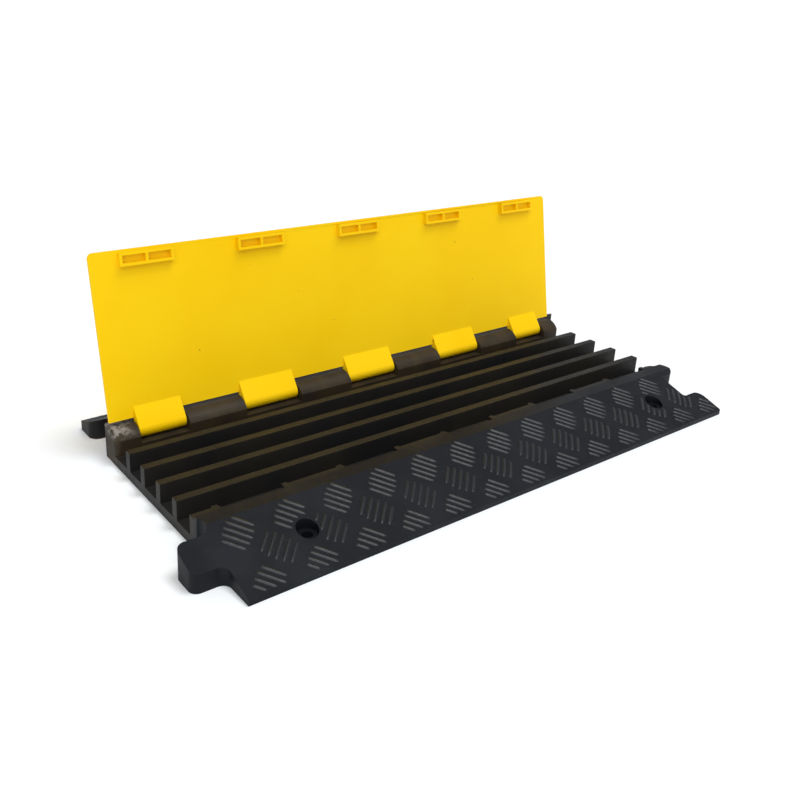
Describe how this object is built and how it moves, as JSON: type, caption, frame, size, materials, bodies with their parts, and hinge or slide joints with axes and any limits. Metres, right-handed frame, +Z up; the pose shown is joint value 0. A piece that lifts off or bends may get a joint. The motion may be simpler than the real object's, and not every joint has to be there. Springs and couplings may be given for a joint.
{
  "type": "floor cord cover",
  "caption": "Low rubber ramp with parallel cord channels, hooked ends and a hinged plastic lid that closes flush over the channels.",
  "frame": {"origin": "middle of the base on the floor", "axes": "+X along the cord channels, +Y towards the hinge, +Z up"},
  "size_m": [0.984, 0.5, 0.2872],
  "materials": {
    "ramp_rubber": "matt moulded rubber, fine grain",
    "lid_plastic": "satin moulded plastic",
    "rod_steel": "drawn steel rod"
  },
  "bodies": {
    "base_body": {"base": "ramp_rubber", "hinge_rod": "rod_steel"},
    "lid_body": {"lid": "lid_plastic"}
  },
  "joints": [
    {"name": "lid_hinge", "type": "hinge", "parent": "base_body", "child": "lid_body", "pos_m": [0, 0.1315, 0.0385], "axis": [1, 0, 0], "range_deg": [0, 100.9]}
  ]
}
